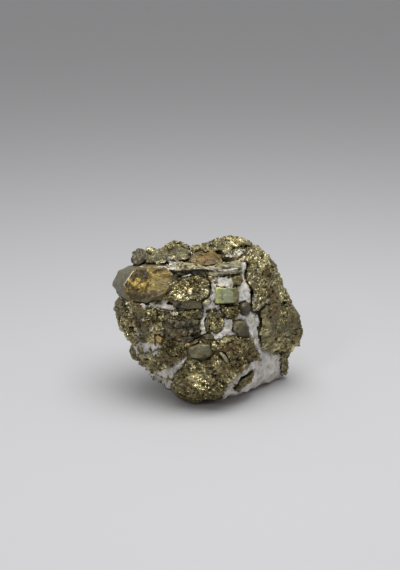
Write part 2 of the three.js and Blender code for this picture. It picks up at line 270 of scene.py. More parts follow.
def shell(name, grid, smooth, **values):
    """A closed mesh on a grid of points in mm. The first and last rows are drawn together into one vertex
    each, with triangles round them, and quads fill the rest. Values become attributes of the same name."""
    rows, columns = grid.shape[:2]

    def welded(array):
        flat = array[1:-1].reshape(-1, *array.shape[2:])
        return np.concatenate([array[:1].mean(axis=1), flat, array[-1:].mean(axis=1)])

    places = welded(grid)
    places[:, 2] = np.maximum(places[:, 2], 0.0)  # nothing goes below the table
    index = 1 + np.arange((rows - 2) * columns).reshape(rows - 2, columns)
    turned = np.roll(index, -1, 1)
    quads = np.stack([index[:-1], index[1:], turned[1:], turned[:-1]], axis=-1).reshape(-1, 4)
    last = len(places) - 1
    top = np.stack([np.zeros(columns, int), index[0], turned[0]], axis=-1)
    bottom = np.stack([index[-1], np.full(columns, last), turned[-1]], axis=-1)
    mesh = bpy.data.meshes.new(name)
    mesh.from_pydata(places * MM, [], top.tolist() + quads.tolist() + bottom.tolist())
    mesh.polygons.foreach_set("use_smooth", np.full(len(mesh.polygons), smooth))
    for key, value in values.items():
        measure = mesh.attributes.new(key, "FLOAT", "POINT")
        measure.data.foreach_set("value", welded(value).astype(np.float32))
    piece = bpy.data.objects.new(name, mesh)
    bpy.context.scene.collection.objects.link(piece)
    return piece


# %% [markdown]
# ## A map of the veins
# Where quartz meets pyrite, neither ends in a clean line: white dust creeps over the grains, and grains sit
# in the white. So both need to know how near the quartz is. Rays from outside see which mineral is outermost
# in each direction from the specimen's middle, and every piece reads a blurred map of that answer.



# %% What the outside sees
def joined(name, members):
    """One object from the triangles of several nodes."""
    corners = np.concatenate([triangles_of(member) for member in members]).reshape(-1, 3)
    mesh = bpy.data.meshes.new(name)
    mesh.from_pydata(corners * MM, [], np.arange(len(corners)).reshape(-1, 3).tolist())
    solid = bpy.data.objects.new(name, mesh)
    bpy.context.scene.collection.objects.link(solid)
    return solid


FAR = 90.0  # mm from the middle, well outside the specimen
POLE = (0.0, -1.0, 0.3)  # the maps' rows start at the front
QUARTZ = [name for name in nodes if slot_of[name] == "vein_quartz"]
white_solids = joined("white solids", QUARTZ)
dark_solids = joined("dark solids", [name for name in nodes if name not in QUARTZ])


def survey(ways):
    """How far out the quartz and the other pieces reach in each direction; 0 where there is none."""
    starts = centre + FAR * ways
    reaches = [FAR - ray_hits(starts, -ways, solid) for solid in (white_solids, dark_solids)]
    return [np.where(reach > FAR - 1, 0, reach) for reach in reaches]


MAP_ROWS, MAP_COLUMNS = 320, 640
MAP_BLUR = 8  # rounds, which soften an edge over about 1 mm
white, dark = survey(way_grid(POLE, MAP_ROWS, MAP_COLUMNS))
vein_map = blur((white > dark).astype(float), MAP_BLUR)
print("quartz shows on", round(100 * float((white > dark).mean())), "% of the map")


def look_up(chart, points):
    """A map's value in the direction of each point: the angle from the pole gives the row, the turn about it
    the column, and the four values around are blended."""
    pole, side, other = axes_about(POLE)
    ways = points - centre
    ways = ways / np.linalg.norm(ways, axis=-1, keepdims=True)
    row = np.arccos(np.clip(ways @ pole, -1, 1)) / np.pi * (MAP_ROWS - 1)
    column = np.arctan2(ways @ other, ways @ side) / (2 * np.pi) % 1 * MAP_COLUMNS
    above, left = np.minimum(row.astype(int), MAP_ROWS - 2), column.astype(int) % MAP_COLUMNS
    down, right = row - above, column - np.floor(column)
    next_left = (left + 1) % MAP_COLUMNS
    upper = (1 - right) * chart[above, left] + right * chart[above, next_left]
    lower = (1 - right) * chart[above + 1, left] + right * chart[above + 1, next_left]
    return (1 - down) * upper + down * lower


# %% Places on the pieces
ACROSS = np.array([1.0, 0.0, 0.0])
UPWARDS = np.array([0.0, np.sin(ELEVATION), np.cos(ELEVATION)])  # up the leaning front of the specimen


def seen(points):
    """Points as they lie in the plane of the specimen's front: how far across and how far up, in mm."""
    return np.stack([points @ ACROSS, points @ UPWARDS], axis=-1)


def spot(node, across, up):
    """A place on a node as it is seen from the front, in mm: across runs from -1 at its left to 1 at its
    right, and up from -1 at its bottom to 1 at its top."""
    flat = seen(triangles_of(node)).reshape(-1, 2)
    least, most = flat.min(axis=0), flat.max(axis=0)
    return (least + most) / 2 + (most - least) / 2 * np.array([across, up])


def patch(points, place, reach):
    """1 at a place on the front, falling to 0 over a reach in mm."""
    near = np.exp(-(((seen(points) - place) / reach) ** 2).sum(axis=-1))
    return near * rise((points - centre) @ FRONTWARDS, 0.0, 2.0)


def outside(places, corners):
    """How far places lie outside a convex outline, in mm, and less than 0 inside it: the most that any side's
    line is overstepped. The corners run clockwise."""
    sides = np.roll(corners, -1, axis=0) - corners
    normals = np.stack([-sides[:, 1], sides[:, 0]], axis=-1)
    normals /= np.linalg.norm(normals, axis=-1, keepdims=True)
    return np.max([(places - corner) @ normal for corner, normal in zip(corners, normals)], axis=0)


DUSTY = [  # where veins break up into white dust, or below 0 pyrite grows in them: place, reach in mm, amount
    (spot("speckled_crystal", -1, 0.8), 2.2, 0.30), (spot("speckled_crystal", 1, -0.4), 2.4, 0.35),
    (spot("speckled_crystal", 0.2, -1.1), 2.2, 0.25), (spot("sparkle_band", -0.8, 0.6), 2.6, 0.35),
    (spot("sparkle_band", 0.5, 0.2), 2.2, 0.22), (spot("left_lower_mass", -0.4, 0.9), 2.6, 0.4),
    (spot("left_lower_mass", 0.8, -0.4), 2.4, 0.4), (spot("grey_tablet", 0.1, 1.2), 2.2, 0.35),
    (spot("small_brown_crystal", -1.2, 0), 2.2, 0.35), (spot("top_ledge_mass", -0.8, 0.6), 2.6, 0.3),
    (spot("top_ridge_mass", 0.3, -0.4), 2.6, 0.3), (spot("gold_crystal", 0, 2.5), 2.2, 0.22),
    (spot("lower_mass", -0.9, 0.3), 2.6, 0.3), (spot("centre_bronze_mass", 0.6, -0.2), 2.2, 0.2),
    (spot("top_left_mass", 0.0, -0.9), 2.4, 0.35), (spot("top_ledge_mass", 0.8, 0.6), 2.6, 0.3),
    (spot("striated_cube", -0.85, 1.5), 0.9, -0.6), (spot("striated_cube", 0.2, 2.0), 0.7, -0.6),
    (spot("striated_cube", 1.5, -0.6), 0.7, -0.5), (spot("olive_crystal", 1.6, 1.5), 0.7, -0.5),
    (spot("sparkle_band", -0.95, 1.7), 0.75, -0.7), (spot("sparkle_band", -1.45, 1.5), 0.6, -0.7),
    (spot("sparkle_band", -0.55, 2.2), 0.55, -0.6), (spot("left_lower_mass", -0.75, 1.05), 0.6, -0.6),
    (spot("left_lower_mass", -0.35, 1.3), 0.5, -0.6), (spot("right_lower_mass", -0.83, -1.12), 0.8, -0.9),
    (spot("right_lower_mass", -0.79, -1.32), 0.7, -0.9), (spot("left_mass", 0.35, 0.78), 0.8, 0.55),
    (spot("left_mass", 0.62, 0.9), 0.5, 0.4), (spot("left_mass", 0.8, -0.55), 0.7, 0.5),
    (spot("right_upper_mass", -0.72, -0.1), 0.5, 0.6), (spot("top_ledge_mass", 0.1, -0.1), 1.2, 0.3),
]
VEINLETS = [  # thin veins: both ends and the thickness in mm
    (spot("right_upper_mass", -0.05, -0.75), spot("right_upper_mass", 0.12, -0.2), 0.28),
    (spot("right_lower_mass", -0.42, -0.9), spot("right_lower_mass", -0.3, -0.5), 0.28),
    (spot("top_left_mass", -0.6, -0.65), spot("top_left_mass", 0.55, -0.5), 0.3),
    (spot("bright_lens", -1.15, -0.95), spot("bright_lens", -0.72, 0.3), 0.2),
    (spot("bright_lens", -0.72, 0.3), spot("bright_lens", -0.06, 0.98), 0.2),
]
SHADED_HOLLOWS = [  # where the quartz is sunk and painted dark as shade, and under the grey tablet a painted shadow: a place and its reach in mm
    (spot("bright_lens", -0.75, 0.75), 1.8), (spot("bright_lens", -0.3, 1.15), 1.4),
    # a painted shadow under the grey tablet
    (spot("grey_tablet", 0.0, -1.15), 1.2),
]
VEINLET_SHARE = 0.55  # how white a thin vein is


def veinlet(points, start, end, thick):
    """1 along a line from start to end on the front, falling to 0 over its thickness."""
    line = end - start
    offset = seen(points) + 0.3 * noise(points, 1.0, 101)[..., None] - start
    share = np.clip(offset @ line / (line @ line), 0, 1)
    near = np.exp(-((offset - share[..., None] * line) ** 2).sum(axis=-1) / thick**2)
    return near * rise((points - centre) @ FRONTWARDS, 0.0, 2.0)


def whiteness(points):
    """How near the quartz is: the map, plus what the dusty places and the thin veins add."""
    dust = sum(amount * patch(points, place, reach) for place, reach, amount in DUSTY)
    thin = sum(veinlet(points, *vein) for vein in VEINLETS)
    return look_up(vein_map, points) + dust + VEINLET_SHARE * thin


# %% [markdown]
# ## Grains
# Massive pyrite is a crowd of small cubes that grew into each other at every angle. Where a ray leaves the
# crowd, it crosses a flat cube face, and between the cubes it falls into a gap, which the finish paints dark
# as shade. Working out that crossing gives true flat facets and sharp corners, which noise can't.

# %% Turned cubes
rng = np.random.default_rng(7)
TURNS, _ = np.linalg.qr(rng.normal(size=(96, 3, 3)))  # a store of random rotations


def cubes(points, ways, size, seed, fill=0.55, sink=0.1):
    """How far a crowd of turned cubes stands out from each point along its way, in mm, and a number from 0
    to 1 that belongs to the cube. Space is cut in cells of the size; each holds a cube with its own place,
    turn and width. A ray leaves a cube at the nearest of its three far faces, and the crowd where it leaves
    the last cube. Cubes whose middle is higher than sink above the surface don't count."""
    cells = np.floor(points / size).astype(int)
    best = np.full(points.shape[:-1], -size)
    tone = np.zeros(points.shape[:-1])
    for step in np.ndindex(3, 3, 3):
        cell = cells + np.array(step) - 1
        spots = np.stack([scatter(cell, seed + axis) for axis in range(3)], axis=-1)
        middles = (cell + 0.1 + 0.8 * spots) * size
        turn = TURNS[(scatter(cell, seed + 3) * len(TURNS)).astype(int)]
        half = (size * fill * (0.7 + 0.6 * scatter(cell, seed + 4)))[..., None]
        place = np.einsum("...ij,...j->...i", turn, points - middles)
        way = np.einsum("...ij,...j->...i", turn, ways)
        way = np.where(np.abs(way) < 1e-6, 1e-6, way)
        leave = ((np.copysign(half, way) - place) / way).min(axis=-1)
        enter = ((-np.copysign(half, way) - place) / way).max(axis=-1)
        low_enough = np.einsum("...i,...i->...", middles - points, ways) < sink * size
        leave = np.where((leave > enter) & low_enough, leave, -size)
        tone = np.where(leave > best, scatter(cell, seed + 5), tone)
        best = np.maximum(best, leave)
    return best, tone


# %% [markdown]
# ## Finishes
# Each finish starts from the real surface. The meshes carry five measures as attributes: tone, each grain's
# own lightness; a measure of painted shade, 0 deep in a gap, pit or hollow and 1 on a clear face, which also
# carries some random dark marks; vein, how near the quartz is; rust, the share of limonite; and dull, the
# share of dark tarnish. The shader turns those measures into colour and gloss.


# %% Shared steps
def new_material(name):
    """An empty material with its tree, its shader and Object coordinates in metres."""
    material = bpy.data.materials.new(name)
    material.use_nodes = True
    tree = material.node_tree
    tree.nodes.clear()
    shader = add(tree, "ShaderNodeBsdfPrincipled")
    add(tree, "ShaderNodeOutputMaterial", {"Surface": shader})
    place = add(tree, "ShaderNodeTexCoord").outputs["Object"]
    return material, tree, shader, place


def per_mm(size):
    """A texture's scale for features of a size in mm, on coordinates in metres."""
    return 1 / (size * MM)


def facets(tree, place, size, slope):
    """The height of a field of small flat facets: in each cell of a Voronoi pattern, the way from the
    cell's middle, dotted with the cell's own random tilt."""
    cell = add(tree, "ShaderNodeTexVoronoi", {"Vector": place, "Scale": per_mm(size)})
    tilt = add(tree, "ShaderNodeVectorMath", {0: cell.outputs["Color"], 1: (0.5, 0.5, 0.5)},
               operation="SUBTRACT")
    way = add(tree, "ShaderNodeVectorMath", {0: place, 1: cell.outputs["Position"]}, operation="SUBTRACT")
    height = add(tree, "ShaderNodeVectorMath", {0: way, 1: tilt}, operation="DOT_PRODUCT")
    return add(tree, "ShaderNodeMath", {0: height.outputs["Value"], 1: 2 * slope}, operation="MULTIPLY")


def quartz_colour(tree, place):
    """Vein quartz is white to grey and sugary, with pinkish and grey zones, and dirty in places."""
    zones = add(tree, "ShaderNodeTexNoise", {"Vector": place, "Scale": per_mm(6.0), "Detail": 3.0})
    zones = add(tree, "ShaderNodeMapRange", {"Value": zones, "From Min": 0.35, "From Max": 0.65})
    body = add(tree, "ShaderNodeMix", {0: zones, 6: "#D3D1CF", 7: "#F4EEE4"}, data_type="RGBA")
    dirt = add(tree, "ShaderNodeTexNoise", {"Vector": place, "Scale": per_mm(2.2), "Detail": 6.0})
    dirt = add(tree, "ShaderNodeMapRange", {"Value": dirt, "From Min": 0.52, "From Max": 0.34, "To Max": 0.8})
    return add(tree, "ShaderNodeMix", {0: dirt, 6: body, 7: "#A79D88"}, data_type="RGBA").outputs[2]


# %% Ore
def ore(name, gap_shade, body, bright, rust="#6A522A", film="#6E684A", shine=(0.14, 0.4), metal=0.9,
        grain_mm=0.45, slope=0.5, white_from=0.95):
    """Pyrite is a brassy metal to the eye. Its gaps are painted dark with the gap colour, as shade, each
    grain has its own lightness, rust is dull and orange-brown, and tarnish is a grey-green film. Small tilted
    facets, finer than the mesh, sparkle, but not on the lightest grains, which are clean and flat. Quartz
    covers it where the vein measure, broken up by a noise of 0.7 mm specks, passes white_from."""
    material, tree, shader, place = new_material(name)
    tone, relief, stain, tarnish, vein = [
        add(tree, "ShaderNodeAttribute", attribute_name=key).outputs["Fac"]
        for key in ("tone", "relief", "rust", "dull", "vein")]
    specks = add(tree, "ShaderNodeTexNoise", {"Vector": place, "Scale": per_mm(0.7), "Detail": 4.0})
    ragged = add(tree, "ShaderNodeMath", {0: specks, 1: 0.9, 2: vein}, operation="MULTIPLY_ADD")
    white = add(tree, "ShaderNodeMapRange", {
        "Value": ragged, "From Min": white_from, "From Max": white_from + 0.14},
        interpolation_type="SMOOTHSTEP")
    flecks = add(tree, "ShaderNodeTexNoise", {"Vector": place, "Scale": per_mm(0.4), "Detail": 3.0})
    light = add(tree, "ShaderNodeMath", {0: flecks, 1: 1.2, 2: -0.6}, operation="MULTIPLY_ADD")
    light = add(tree, "ShaderNodeMath", {0: light, 1: tone}, operation="ADD", use_clamp=True)
    colour = add(tree, "ShaderNodeMix", {0: light, 6: body, 7: bright}, data_type="RGBA")
    colour = add(tree, "ShaderNodeMix", {0: stain, 6: colour, 7: rust}, data_type="RGBA")
    colour = add(tree, "ShaderNodeMix", {0: tarnish, 6: colour, 7: film}, data_type="RGBA")
    # painted shade: deep in gaps, pits and hollows the colour turns to the dark gap colour
    colour = add(tree, "ShaderNodeMix", {0: relief, 6: gap_shade, 7: colour}, data_type="RGBA")
    pale = quartz_colour(tree, place)
    colour = add(tree, "ShaderNodeMix", {0: white, 6: colour, 7: pale}, data_type="RGBA")
    tree.links.new(colour.outputs[2], shader.inputs["Base Color"])
    metallic = add(tree, "ShaderNodeMath", {0: stain, 1: -0.7 * metal, 2: metal}, operation="MULTIPLY_ADD")
    metallic = add(tree, "ShaderNodeMix", {0: tarnish, 2: metallic, 3: 0.3 * metal})
    metallic = add(tree, "ShaderNodeMath", {0: metallic, 1: relief}, operation="MULTIPLY")
    metallic = add(tree, "ShaderNodeMix", {0: white, 2: metallic, 3: 0.0})
    tree.links.new(metallic.outputs[0], shader.inputs["Metallic"])
    worn = add(tree, "ShaderNodeTexNoise", {"Vector": place, "Scale": per_mm(0.8)})
    gloss = add(tree, "ShaderNodeMapRange", {
        "Value": worn, "From Min": 0.35, "From Max": 0.65, "To Min": shine[0], "To Max": shine[1]})
    gloss = add(tree, "ShaderNodeMix", {0: white, 2: gloss, 3: 0.5})
    tree.links.new(gloss.outputs[0], shader.inputs["Roughness"])
    clean = add(tree, "ShaderNodeMapRange", {
        "Value": tone, "From Min": 0.4, "From Max": 1.0, "To Min": 1.0, "To Max": 0.15})
    bump = add(tree, "ShaderNodeBump", {
        "Height": facets(tree, place, grain_mm, slope), "Strength": clean, "Distance": 1.0})
    tree.links.new(bump.outputs["Normal"], shader.inputs["Normal"])
    return material


FINISHES = {  # the gap colour, which is painted shade, then body and bright colours, then what differs
    # massed grains, greyed by the air: olive brass with gaps painted dark as shade, and sparks
    "granular_pyrite": ore("granular pyrite", "#272114", "#7F7550", "#E2D7A6"),
    # clean faces: pale brass that mirrors, with a gold stain
    "bright_pyrite": ore("fresh pyrite", "#282316", "#9A8D5E", "#F4EABF", rust="#B98A35", shine=(0.12, 0.35)),
    # pyrite under a skin of limonite: gold-brown, with hardly any shine
    "stained_pyrite": ore("limonite-stained pyrite", "#2C2215", "#60502A", "#B89E54", rust="#8C5F22",
                          film="#6D6954", shine=(0.3, 0.55), metal=0.45, grain_mm=0.7, slope=0.25),
    # a grown face with fine growth lines: smooth, yellow-green and silvery
    "striated_pyrite": ore("striated pyrite", "#6A6B44", "#9EA27A", "#D9DC98", film="#A3A88E",
                           shine=(0.25, 0.45), metal=0.6, grain_mm=1.0, slope=0.08),
    # a film of tarnish: dark olive with a dull gloss
    "tarnished_pyrite": ore("tarnished pyrite", "#1C1A12", "#575141", "#857C62",
                            shine=(0.3, 0.55), metal=0.6, slope=0.35),
    # an old broken surface: grey-olive and almost matt
    "weathered_pyrite": ore("weathered pyrite", "#2C281A", "#6C664C", "#B5AC8A", film="#6F705C",
                            shine=(0.35, 0.6), metal=0.35, slope=0.25),
    # sugary quartz, and pyrite wherever the vein measure is low
    "vein_quartz": ore("vein quartz", "#2A2416", "#7F7450", "#D8CD9C", white_from=0.82, slope=0.35),
}


# %% [markdown]
# ## Pieces
# A granular mass has its edges bent by the warp and its surface covered by cubes. A larger crystal keeps its
# own flat faces, with a little wear. Each piece has its own mood: its grain size, its shares of rust and
# tarnish, how light it is, how rough, and how much of it flashes.

# %% Moods
PLAIN = dict(
    grain=0.85, rust=0.25, dull=0.3,  # grain size in mm, shares of rust and of tarnish
    stand=1.0, holes=0.5,  # how far grains stand out, and how much is pitted
    light=0.0, edge=2.5,  # what is added to the tone, and how much lighter edges are
    rounding=1, swell=0.0,  # rounds of blur, and growth in mm
    flash=0.0, specks=0.2,  # how many more ledges flash, and how much white dust there is
)
MOODS = {  # what is different on a piece
    "bright_lens": dict(grain=0.62, rust=0.05, dull=0.0, holes=0.2, light=-0.1, flash=0.06, specks=0.0),
    "sparkle_band": dict(grain=0.8, rust=0.1, specks=0.6),
    "dark_bronze_mass": dict(grain=1.4, rust=0.15, dull=0.5, stand=0.7, light=-0.08),
    "centre_bronze_mass": dict(grain=1.0, rust=0.4, light=-0.1),
    "bronze_mass": dict(grain=0.75, rust=0.45, dull=0.25, light=-0.18),
    "bronze_chunk": dict(grain=0.9, rust=0.6, dull=0.2, stand=0.7, light=-0.1),
    "speckled_crystal": dict(grain=0.8, dull=0.4),
    "left_mass": dict(rust=0.4, dull=0.2, holes=1.1, light=0.06, flash=0.24, specks=0.62),
    "left_lower_mass": dict(rust=0.45, dull=0.25, light=-0.05, specks=0.35),
    "lower_mass": dict(grain=0.68, rust=0.3, dull=0.15, light=-0.05, swell=-0.4, flash=0.2, specks=0.0),
    "right_upper_mass": dict(rust=0.35, dull=0.4, holes=0.6, stand=0.8, light=0.08, specks=0.5),
    "right_lower_mass": dict(grain=0.75, rust=0.2, dull=0.45, holes=0.3, stand=0.7, light=0.12),
    "top_left_mass": dict(grain=0.9, rust=0.1, dull=0.6, light=0.08, swell=-0.5),
    "top_ridge_mass": dict(rust=0.2, dull=0.55, light=0.2, holes=0.0, swell=-0.15, specks=0.38),
    "top_stained_mass": dict(grain=1.0, rust=0.0, dull=0.5, stand=0.25, holes=0.2),
    "top_ledge_mass": dict(grain=0.8, rust=0.1, stand=0.6, holes=0.0, light=0.5),
    "back_upper_mass": dict(dull=0.4, swell=-0.4),
    "back_right_mass": dict(dull=0.4),
    "pyrite_stringer": dict(grain=0.7, dull=0.5, light=-0.1, swell=-0.7),
    "foot_mass": dict(grain=0.75, dull=0.6, stand=0.6),
    "knob_crystal": dict(grain=1.4, stand=0.4, rust=0.0, dull=0.6, swell=-0.5),
    "round_dark_crystal": dict(rounding=40, rust=0.0, dull=0.4, swell=0.15, light=-0.5, edge=0.2),
    "small_brown_crystal": dict(rounding=20, rust=0.6, light=-0.1, edge=0.5),
    "dark_plate": dict(rust=0.1, light=0.15),
    "olive_crystal": dict(rounding=8, rust=0.5, dull=0.1, light=-0.25, edge=0.8),
    "grey_tablet": dict(rounding=8, rust=0.5, dull=0.4, light=-0.3, edge=0.5),
    "slender_crystal": dict(rust=0.3, dull=0.0, light=0.1),
    "gold_crystal": dict(rust=0.9, dull=0.0),
    "stained_crystal": dict(rust=0.35, swell=0.3),
    "striated_cube": dict(rust=0.0, rounding=5),
}
for node in nodes:
    MOODS[node] = {**PLAIN, **MOODS.get(node, {})}
STAINS = {  # smooth patches of rust and of tarnish: a place, its reach in mm and how much
    "rust": [
        (spot("left_mass", -0.05, 0.15), 2.2, 0.8), (spot("lower_mass", -0.6, -0.25), 2.6, 0.45),
        (spot("lower_mass", 0.3, 0.4), 2.4, 0.55), (spot("right_lower_mass", 0.0, -0.75), 1.8, 0.6),
        (spot("right_lower_mass", -0.5, 0.4), 1.6, 0.6), (spot("right_upper_mass", -0.05, 0.1), 2.2, 0.6),
        (spot("left_lower_mass", 0.1, 0.2), 2.2, 0.6), (spot("bronze_mass", 0.5, -0.2), 2.0, 0.6),
    ],
    "dull": [
        (spot("left_mass", 0.15, -0.5), 2.2, 0.8), (spot("left_mass", -0.75, 0.6), 3.0, 0.85),
        (spot("lower_mass", 0.75, 0.1), 1.6, 0.8), (spot("right_lower_mass", -0.3, 0.0), 2.4, 0.75),
    ],
}
GLINTS = [  # where ledges flash together: a place and its reach in mm
    (spot("lower_mass", -0.38, 0.02), 1.6), (spot("lower_mass", -0.2, -0.12), 1.6),
    (spot("right_upper_mass", -0.97, 0.85), 0.8), (spot("bright_lens", 0.15, -0.35), 1.0),
    (spot("bright_lens", -0.35, -0.7), 0.8), (spot("right_lower_mass", -0.15, 0.2), 0.5),
    (spot("left_mass", 0.55, 0.8), 0.7), (spot("sparkle_band", 0.8, 0.0), 0.5),
    (spot("sparkle_band", -0.55, -0.3), 0.4), (spot("left_mass", 0.4, 0.4), 0.5),
    (spot("right_lower_mass", -0.36, 0.4), 0.35), (spot("right_lower_mass", -0.85, -0.2), 0.35),
    (spot("foot_mass", -0.4, 0.45), 0.4), (spot("top_ridge_mass", 0.63, -0.05), 0.6),
    (spot("right_upper_mass", -0.2, -0.35), 0.35), (spot("bronze_mass", -0.3, 0.3), 0.4),
]


# %% Pieces
def dress(piece, node):
    """Puts a piece in place of its node, with the node's finish, on the one body of the specimen."""
    piece.data.materials.append(FINISHES[slot_of[node]])
    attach(piece, "root")
    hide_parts(node)


def base_grid(node, step, crowd=1.5):
    """The node's surface as seen from its middle, on a grid with about one point every step mm. The
    directions are stretched as the node's box is, so that a long or flat piece is covered evenly. A first,
    coarse look tells how large the piece is."""
    middle = middle_of(node)
    stretch = np.ptp(np.array(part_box(node)), axis=0)

    def look(rows, columns):
        ways = way_grid((middle - centre) / stretch, rows, columns, crowd) * stretch
        ways /= np.linalg.norm(ways, axis=-1, keepdims=True)
        return ways, ray_hits(np.broadcast_to(middle, ways.shape), ways, nodes[node])

    _, reach = look(8, 16)
    columns = int(np.clip(2 * np.pi * np.percentile(reach, 70) / step, 64, 400))
    ways, reach = look(columns // 2, columns)
    return middle + (MOODS[node]["swell"] + blur(reach, MOODS[node]["rounding"]))[..., None] * ways


def mood_masks(points, node):
    """Rust and tarnish lie in patches: a noise of about 4 mm, cut so that about the given share is covered,
    and the stains that have their own places."""
    cut = {name: 0.7 - 1.4 * MOODS[node][name] for name in ("rust", "dull")}
    rust = rise(noise(points, 3.4, 61) + 0.5 * noise(points, 1.0, 62), cut["rust"], cut["rust"] + 0.5)
    dull = rise(noise(points, 4.2, 63) + 0.5 * noise(points, 1.1, 64), cut["dull"], cut["dull"] + 0.5)
    masks = {"rust": 0.8 * rust, "dull": 0.85 * dull}
    ragged = 0.3 * noise(points, 0.9, 65)
    for kind, stains in STAINS.items():
        for place, reach, amount in stains:
            share = rise(patch(points, place, reach) + ragged, 0.3, 0.7)
            masks[kind] = np.maximum(masks[kind], amount * share)
    return masks


def flashing(points):
    """Which way a face must point to throw the small lamp's light forward: the more up the lower it lies."""
    height = points[..., 2:]
    return np.array([-0.21, -0.82, 0.54]) - np.array([0.0, 0.001, 0.002]) * height


def small_ledges(points, pitch=0.5):
    """How far back from the surface ledges run that flash, in mm, and a number from 0 to 1 for each ledge.
    The height along the flashing way is cut to whole pitches, anew in every 0.8 mm of the way across, so
    that each ledge is a flat face."""
    face = flashing(points)
    column = np.floor(points / 0.8 * ACROSS).astype(int)
    level = (points * face).sum(axis=-1) / pitch + scatter(column, 91)
    lump = column + np.floor(level).astype(int)[..., None] * np.array([0, 1, 0])
    return pitch * (level - np.floor(level)) / -face[..., 1], scatter(lump, 92)


PIT, SHORE, LEDGE = 0.8, 0.8, 0.4  # mm: how deep pits and the rims near quartz lie, and how far ledges stand


def mass(node, step=0.24):
    """A granular mass: a crowd of cubes of the mass's grain, with larger cubes among them in places, smoother
    where it is tarnished and lower where it meets the quartz. At the glints, and in a few other places,
    flashing ledges stand instead of cubes."""
    mood = MOODS[node]
    grain = mood["grain"]
    grid = warp(base_grid(node, step))
    way = outward(blur(grid, 5))
    grid = grid + (0.35 * noise(grid, 3.2, 22) - 0.2)[..., None] * way
    small, tone = cubes(grid, way, grain, 31)
    large, large_tone = cubes(grid, way, 2.0 * grain, 37, fill=0.5)
    large = large - 0.5 * grain * (1 - noise(grid, 4.0, 45))
    tone = np.where(large > small, large_tone, tone)
    stand = np.clip(np.maximum(small, large), -0.6 * grain, 0.55 * grain)
    masks = mood_masks(grid, node)
    cut = 0.85 - 0.4 * mood["holes"]
    holes = rise(noise(grid, 2.4, 81) + 0.3 * noise(grid, 0.9, 82), cut, cut + 0.3)
    vein = whiteness(grid)
    # Painted shade: dark deep between the grains and in the pits, lighter again where tarnish fills the gaps.
    relief = rise(stand / grain, -0.5, 0.1)
    relief = np.maximum(relief, 0.7 * masks["dull"]) * (1 - 0.8 * holes)
    stand = mood["stand"] * stand * (1 - 0.6 * np.maximum(masks["dull"], masks["rust"]))
    stand = stand - PIT * holes - SHORE * rise(vein, 0.3, 0.6)
    tone = mood["light"] + tone * tone * (0.2 + 1.3 * rise(noise(grid, 4.0, 83), -0.5, 0.5))
    depth, ledge_tone = small_ledges(grid)
    flash = sum(patch(grid, place, reach) for place, reach in GLINTS) + mood["flash"]
    flash = flash + 0.4 * noise(grid, 0.7, 93) + 0.25 * noise(grid, 3.0, 100) > 0.5
    vein = vein + mood["specks"] * rise(noise(grid, 2.4, 102), 0.0, 0.5)
    stand = np.where(flash, LEDGE, stand)
    tone = np.where(flash, np.where(ledge_tone > 0.25, 1.0, 0.3), tone)
    look = {"tone": tone, "relief": np.maximum(relief, flash), "vein": vein * ~flash, **masks}
    grid = grid + stand[..., None] * way
    grid[..., 1] += np.where(flash, depth, 0)
    return finished(node, grid, look)


def crystal(node, step=0.2, wear=0.05):
    """A larger crystal: its own faces, a little bent, worn and pitted, and lighter along its edges, where the
    surface stands out from its own blurred copy."""
    mood = MOODS[node]
    grid = base_grid(node, step)
    grid = grid + 0.3 * (warp(grid) - grid)
    way = outward(blur(grid, 2))
    edge = np.einsum("...i,...i->...", grid - blur(grid, 12), way)
    pits = wear * noise(grid, 0.7, 41) + 2.0 * wear * noise(grid, 2.5, 42)
    tone = np.clip(0.3 + mood["light"] + 0.3 * noise(grid, 1.2, 43) + mood["edge"] * edge, 0, 1)
    # Random dark specks, drawn in the same measure that elsewhere paints shade.
    relief = rise(noise(grid, 0.9, 44), -0.9, -0.4)
    look = {"tone": tone, "relief": relief, "vein": 0.5 * whiteness(grid), **mood_masks(grid, node)}
    return finished(node, grid + pits[..., None] * way, look)


# %% [markdown]
# ## Single pieces
# A few pieces have marks that no other has: a broken face inside a smooth cap, growth lines, a rim, thin
# sheets. Each mark is a function that moves the piece's grid and changes its measures.

# %% Marks
LENS_FACE = [  # outlines of front faces, clockwise from the left, on the scale of spot
    (-0.92, -0.8), (-0.5, 0.1), (-0.15, 0.62), (0.45, 0.85), (0.88, 0.45), (0.9, -0.4), (0.6, -1.1),
    (-0.9, -1.1),
]
STAINED_FACE = [
    (-0.53, -0.02), (-0.27, 0.58), (-0.03, 0.87), (0.78, 0.84), (0.97, 0.5), (0.99, 0.04), (0.74, -0.49),
    (0.09, -0.83), (-0.34, -0.83), (-0.50, -0.42),
]


def beyond_face(node, grid, face):
    """How far each point lies outside a face's outline, in mm, as seen from the front."""
    return outside(seen(grid), np.array([spot(node, *corner) for corner in face]))


